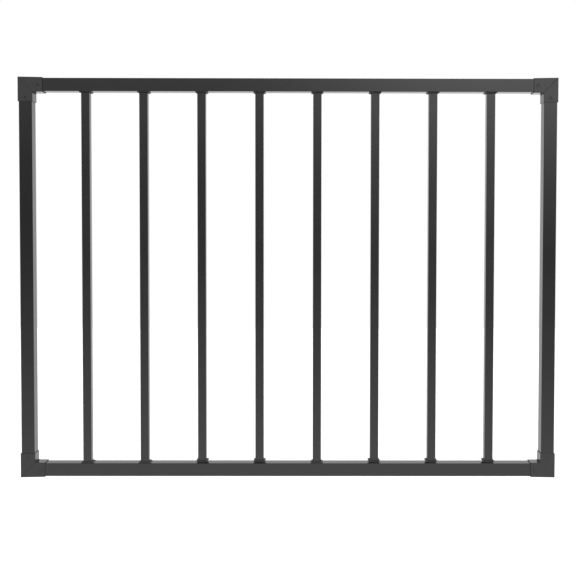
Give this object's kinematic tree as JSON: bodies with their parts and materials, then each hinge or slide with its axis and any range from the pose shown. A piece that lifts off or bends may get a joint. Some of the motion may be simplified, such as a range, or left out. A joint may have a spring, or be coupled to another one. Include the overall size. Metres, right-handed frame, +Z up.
{
  "type": "deck gate",
  "caption": "Gate leaf of square tubes joined by elbow sleeve brackets, filled with upright square balusters set in collared holes.",
  "frame": {"origin": "outer flat face of the lower hinge-side bracket, in the middle of its upright leg and of the gate's depth", "axes": "+X along the gate from the hinge side to the latch side, +Y from the front face to the back, +Z up"},
  "size_m": [1.027, 0.028, 0.7659],
  "materials": {
    "powder_coat": "satin black powder coat on aluminium tube",
    "bracket_coat": "satin black powder coat on cast brackets",
    "collar_plastic": "moulded black plastic"
  },
  "bodies": {
    "root": {"hinge_stile": "powder_coat", "latch_stile": "powder_coat", "bottom_rail": "powder_coat", "top_rail": "powder_coat", "lower_hinge_bracket": "bracket_coat", "upper_hinge_bracket": "bracket_coat", "lower_latch_bracket": "bracket_coat", "upper_latch_bracket": "bracket_coat", "baluster_1": "powder_coat", "baluster_2": "powder_coat", "baluster_3": "powder_coat", "baluster_4": "powder_coat", "baluster_5": "powder_coat", "baluster_6": "powder_coat", "baluster_7": "powder_coat", "baluster_8": "powder_coat", "lower_collar_1": "collar_plastic", "lower_collar_2": "collar_plastic", "lower_collar_3": "collar_plastic", "lower_collar_4": "collar_plastic", "lower_collar_5": "collar_plastic", "lower_collar_6": "collar_plastic", "lower_collar_7": "collar_plastic", "lower_collar_8": "collar_plastic", "upper_collar_1": "collar_plastic", "upper_collar_2": "collar_plastic", "upper_collar_3": "collar_plastic", "upper_collar_4": "collar_plastic", "upper_collar_5": "collar_plastic", "upper_collar_6": "collar_plastic", "upper_collar_7": "collar_plastic", "upper_collar_8": "collar_plastic"}
  },
  "joints": []
}
